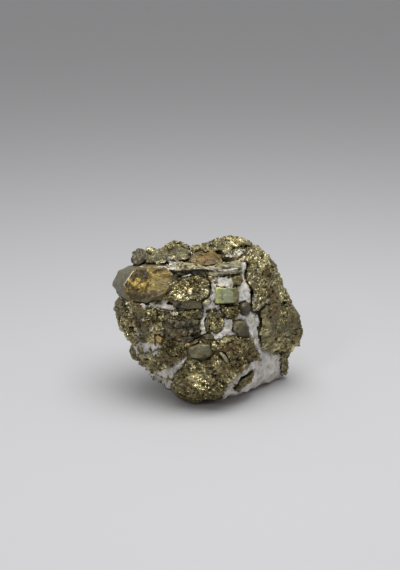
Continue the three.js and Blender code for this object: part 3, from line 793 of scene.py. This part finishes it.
def stained_crystal(grid, look):
    """A smooth grey-green cap, bent back, round a broken face. The face is rough, sunk behind a thin pale rim
    and mottled: dark patches and gold streaks, beige on the right and dark along the bottom."""
    node = "stained_crystal"
    beyond = beyond_face(node, grid, STAINED_FACE)
    cap = rise(beyond, -0.1, 0.25)
    broken = rise(-beyond, 0.1, 0.5)
    rough, lump_tone = cubes(grid, np.broadcast_to(FRONTWARDS, grid.shape), 1.2, 77)
    rough = np.clip(rough, -0.5, 0.5) + 0.5 * noise(grid, 1.1, 78)
    bend = 0.9 * np.clip(beyond, 0, 4) + 0.25 * rise(beyond, 0, 0.3)
    low = rise(spot(node, 0, -0.25)[1] - seen(grid)[..., 1], 0.0, 2.0)
    streaks = 1 - np.abs(noise(grid + 1.5 * noise(grid, 3.0, 79)[..., None], 1.8, 73))
    gold = rise(streaks, 0.8, 1.0) + 0.6 * rise(noise(grid, 0.7, 74), 0.1, 0.7)
    upright = np.array([1.0, 0.35, 0.35])  # draws a patch out to three times its height
    gold = gold + 1.2 * patch(grid * upright, spot(node, 0.25, 0.1) * upright[:2], 1.0)
    dark = rise(noise(grid, 2.4, 75) + 0.6 * noise(grid, 0.8, 76), -0.1, 0.35)
    beige = rise(patch(grid, spot(node, 0.68, -0.1), 4.0) + 0.15 * noise(grid, 1.0, 80), 0.35, 0.7) * broken
    look["tone"] = np.where(cap > 0.5, 0.25, (0.5 * lump_tone**2 + gold + 0.4 * beige) * (1 - 0.8 * low))
    look["relief"] = np.maximum(cap, 1 - 0.8 * np.maximum(dark * (1 - beige), 0.9 * low) * broken)
    look["rust"] = look["rust"] * (1 - cap) * (1 - 0.5 * beige) * (1 - low)
    look["dull"] = 0.9 * cap + 0.5 * beige
    rim = np.exp(-((beyond - 0.05) / 0.22) ** 2) * rise(noise(grid, 2.0, 94), -0.5, 0.1)
    upper = rise(seen(grid)[..., 1] - spot(node, 0, -0.2)[1], -1, 1)
    look["vein"] = look["vein"] * (1 - rim) + 0.75 * rim * upper + 0.25 * beige
    return grid - (bend + broken * (0.3 - 0.35 * rough))[..., None] * FRONTWARDS


def striated_cube(grid, look):
    """Growth lines up the face, a noise stretched 12 times along the line, on a face that is yellow-green at
    its left, silvery in the middle and brown at its right, where it narrows. Its top is chipped."""
    node = "striated_cube"
    middle = spot(node, 0, 0)
    across, up = np.moveaxis((seen(grid) - middle) / (spot(node, 1, 1) - middle), -1, 0)
    lines = noise(grid * np.array([1.0, 0.08, 0.08]), 0.5, 72)
    look["tone"] = np.clip(look["tone"] + 0.4 * lines + 0.7 * rise(-across, 0.3, 0.9), 0, 1)
    look["dull"] = 0.9 * np.exp(-((across - 0.1) / 0.4) ** 2)
    look["rust"] = 0.75 * rise(across + 0.3 * noise(grid, 1.0, 95), 0.35, 0.8)
    chipped = rise(up, 0.2, 1.0) * noise(grid * np.array([1.0, 0.0, 0.0]), 1.6, 96)
    narrow = 0.6 * rise(across, 0.4, 1.0) * rise(np.abs(up), 0.3, 1.0)
    grid = grid + (0.06 * lines)[..., None] * FRONTWARDS
    return grid - (0.5 * chipped)[..., None] * UPWARDS - narrow[..., None] * ACROSS


def bright_lens(grid, look):
    """A sunk rim round the bright face, painted dark as shade, and a pale edge outside it at the upper left.
    """
    node = "bright_lens"
    beyond = beyond_face(node, grid, LENS_FACE)
    rim = rise(beyond, 0.0, 0.3)
    # The sunk rim is painted dark as shade.
    look["relief"] = look["relief"] * (1 - 0.9 * rim)
    look["tone"] = look["tone"] * (1 - rim)
    upper_left = rise(spot(node, 0.2, 0)[0] - seen(grid)[..., 0], -1, 1)
    look["vein"] = look["vein"] * (1 - rim) + 0.9 * upper_left * np.exp(-((beyond - 0.9) / 0.25) ** 2)
    return grid - (0.8 * rim)[..., None] * FRONTWARDS


def top_ledge_mass(grid, look):
    """A crest cuts the ledge across, with a pale line along it that is a painted highlight. Above it lie thin
    sheets, a sawtooth of the height with 0.7 mm from sheet to sheet, which fade to the right; each is painted
    lighter towards its outer edge, a painted highlight. Below it, on the left, is a hollow, painted dark as
    shade."""
    node = "top_ledge_mass"
    across, up = np.moveaxis(seen(grid), -1, 0)
    above = up - spot(node, 0, 0.0)[1] - 0.5 * noise(grid * np.array([1.0, 0.0, 0.0]), 3.0, 71)
    layer = (above + 0.25 * noise(grid, 4.0, 97)) / 0.7
    sheets_and_highlight = (layer - np.floor(layer)) * rise(above, -0.2, 0.3)
    sheets_and_highlight = sheets_and_highlight * (1 - 0.8 * rise(across, spot(node, 0.2, 0)[0], spot(node, 0.6, 0)[0]))
    shaded_hollow = rise(-above, 0.2, 0.7) * rise(spot(node, 0.1, 0)[0] - across, -2.0, 2.0)
    look["relief"] = look["relief"] * (1 - 0.8 * shaded_hollow)
    # Painted highlight: each sheet lighter towards its outer edge.
    look["tone"] = look["tone"] + 0.35 * sheets_and_highlight
    # Painted highlight: a pale line along the crest; the hollow is painted dark as shade.
    look["vein"] = look["vein"] + 0.4 * np.exp(-(above / 0.28) ** 2) - 0.4 * shaded_hollow
    return grid + (0.4 * sheets_and_highlight - 1.6 * shaded_hollow)[..., None] * FRONTWARDS


def top_stained_mass(grid, look):
    """An orange-brown patch, streaked along, that fades to pale yellow on its left. Both ends dip."""
    node = "top_stained_mass"
    ends = rise(np.abs(seen(grid)[..., 0] - spot(node, 0, 0)[0]), 2.5, 5.0)
    pale = patch(grid, spot(node, -0.7, -0.4), 2.6)
    streaks = noise(grid * np.array([0.35, 1.0, 1.0]), 0.7, 87)
    look["rust"] = 0.65 * rise(patch(grid, spot(node, 0.2, 0.0), 2.6) + 0.5 * streaks, 0.25, 1.1)
    look["tone"] = 0.5 * look["tone"] + 0.15 + 0.3 * pale + 0.4 * streaks
    look["vein"] = look["vein"] + 0.5 * pale
    look["dull"] = 0.5 * look["dull"] * (1 - look["rust"])
    return grid - (0.8 * ends)[..., None] * UPWARDS


def olive_crystal(grid, look):
    """Dark at its lower right."""
    dark = rise(patch(grid, spot("olive_crystal", 0.7, -0.4), 2.8), 0.35, 0.7)
    look["relief"] = look["relief"] * (1 - 0.7 * dark)
    return grid


def top_quartz_crystal(grid, look):
    """White broken up by grains of pyrite."""
    look["vein"] = 0.40 + 0.35 * noise(grid, 1.1, 98)
    return grid + (0.3 * noise(grid, 1.0, 99) - 0.5)[..., None] * FRONTWARDS


def white_grain(grid, look):
    """A flat cut that flashes."""
    face = flashing(grid)
    beyond = np.clip(((grid - grid.mean(axis=(0, 1))) * face).sum(axis=-1) - 0.2, 0, None)
    for key, value in (("tone", 1.0), ("relief", 1.0), ("vein", 0.25)):
        look[key] = np.full_like(beyond, value)
    return grid - beyond[..., None] * face + 0.9 * FRONTWARDS


MARKS = {mark.__name__: mark for mark in (  # each has its piece's name
    stained_crystal, striated_cube, bright_lens, top_ledge_mass, top_stained_mass, olive_crystal,
    top_quartz_crystal, white_grain)}


def finished(node, grid, look):
    """The piece's mesh, with its own marks where it has any."""
    if node in MARKS:
        grid = MARKS[node](grid, look)
    return shell(node, grid, False, **look)


CRYSTALS = [
    "striated_cube", "round_dark_crystal", "small_brown_crystal", "gold_crystal", "slender_crystal",
    "olive_crystal", "grey_tablet", "dark_plate", "stained_crystal", "back_small_cube", "back_cube",
    "back_pyritohedron", "small_dark_crystal", "white_grain", "top_quartz_crystal",
]
for node in nodes:
    if node != "quartz_matrix":
        dress((crystal if node in CRYSTALS else mass)(node), node)


# %% Quartz between them
SUNK, DEEPER = 0.7, 2.2  # mm: how far the quartz lies under a piece at its edge, and how much more further in


def matrix(node, rows=300, columns=330):
    """The quartz: near the skin where it is bare, and sunk under the pieces. Near its walls and on its left
    small cubes of pyrite stand in it, with painted shade between them. It is sunk and painted dark as shade
    in the hollows, and bulges once, on the left."""
    ways = way_grid(POLE, rows, columns, 1.15)
    own, cover = survey(ways)
    bare = blur((own > cover).astype(float), 3)
    level = blur(np.where(own > cover, own, cover - SUNK), 1)
    reach = level - DEEPER * (1 - rise(bare, 0.05, 0.45))
    grid = warp(centre + reach[..., None] * ways)
    way = outward(blur(grid, 4))
    specks = rise(noise(grid, 1.3, 55) + 0.6 * noise(grid, 0.6, 56), 0.08, 0.38)
    vein = whiteness(grid) - 0.8 * specks * rise(centre[0] - grid[..., 0], 2.0, 9.0)
    wall = 1 - rise(vein + 0.35 * noise(grid, 1.6, 54), 0.5, 0.75)
    grains, tone = cubes(grid, way, 1.0, 53)
    shaded_hollow = np.clip(sum(patch(grid, place, reach) for place, reach in SHADED_HOLLOWS), 0, 1)
    wall = np.maximum(wall, rise(shaded_hollow, 0.3, 0.6))
    grains = np.clip(grains, -0.5, 0.55)
    bulge = patch(grid, spot("left_lower_mass", -0.5, 1.1), 2.6)
    lumps = 0.3 * noise(grid, 3.0, 51) + 0.1 * noise(grid, 1.0, 52) - 0.8 * shaded_hollow + 0.9 * bulge
    # Painted shade: dark between the wall's grains and in the hollows.
    relief = (1 - wall * (1 - rise(grains, -0.45, 0.1))) * (1 - 0.8 * shaded_hollow)
    return shell(node, grid + (lumps + wall * (0.1 + grains))[..., None] * way, True, vein=vein - 0.25 * wall,
                 tone=tone * tone, relief=relief, rust=0.3 * wall, dull=np.zeros_like(wall))


dress(matrix("quartz_matrix"), "quartz_matrix")
bpy.data.objects.remove(white_solids)
bpy.data.objects.remove(dark_solids)
quads = sum(len(o.data.polygons) for o in bpy.data.objects if o.type == "MESH" and not o.hide_render)
print("about", 2 * quads, "triangles")

# %% [markdown]
# ## Table and light
# A pale sheet lies under the specimen. One large soft light hangs over it, and the room is bright above and
# behind, and dark on the camera's side. A metal shows what it mirrors: facets that face up are bright, and
# those that face the camera stay olive. A small lamp at the front left makes the strong flashes, on ledges
# that throw its light forward.


# %% Table
def disc(name, radius, rows=24, columns=96):
    """A flat round sheet at z = 0: rings of points whose radius grows as the square of the row."""
    reach = radius * np.linspace(0, 1, rows)[:, None] ** 2
    turn = 2 * np.pi * np.arange(columns)[None, :] / columns
    places = np.stack([reach * np.cos(turn), reach * np.sin(turn), np.zeros((rows, columns))], axis=-1)[1:]
    index = np.arange(places.shape[0] * columns).reshape(-1, columns)
    turned = np.roll(index, -1, 1)
    quads = np.stack([index[:-1], index[1:], turned[1:], turned[:-1]], axis=-1).reshape(-1, 4)
    mesh = bpy.data.meshes.new(name)
    mesh.from_pydata(places.reshape(-1, 3), [], quads.tolist() + [index[0].tolist()])
    sheet = bpy.data.objects.new(name, mesh)
    bpy.context.scene.collection.objects.link(sheet)
    return sheet


table = disc("table", 4.0)
material, tree, shader, place = new_material("matt paper")
shader.inputs["Base Color"].default_value = linear("#C4C4C6")
shader.inputs["Roughness"].default_value = 0.8
table.data.materials.append(material)


# %% Light
def soft_light(name, place, aim, size, watts):
    """A square area light that looks at a point, with places and size in metres."""
    light = bpy.data.objects.new(name, bpy.data.lights.new(name, "AREA"))
    light.data.size = size
    light.data.energy = watts
    bpy.context.scene.collection.objects.link(light)
    way = np.array(aim) - np.array(place)
    light.location = place
    light.rotation_euler = (
        np.arctan2(np.hypot(way[0], way[1]), -way[2]), 0, np.arctan2(way[0], -way[1]) + np.pi)


soft_light("overhead", place=(0.03, -0.04, 0.38), aim=(0.03, -0.04, 0), size=0.34, watts=1.35)
soft_light("small lamp", place=(-0.2, -0.35, 0.32), aim=(0, 0, 0.02), size=0.08, watts=0.25)
world = bpy.data.worlds.new("light tent")
world.use_nodes = True
tree = world.node_tree
way = add(tree, "ShaderNodeTexCoord").outputs["Generated"]
BRIGHT_SIDE = (0.0, 0.6, 0.8)  # up and behind
share = add(tree, "ShaderNodeVectorMath", {0: way, 1: BRIGHT_SIDE}, operation="DOT_PRODUCT")
level = add(tree, "ShaderNodeMapRange", {
    "Value": share.outputs["Value"], "From Min": -0.5, "From Max": 0.6, "To Min": 0.11, "To Max": 0.44})
tree.links.new(level.outputs[0], tree.nodes["Background"].inputs["Color"])
bpy.context.scene.world = world
bpy.context.scene.view_settings.view_transform = "Standard"
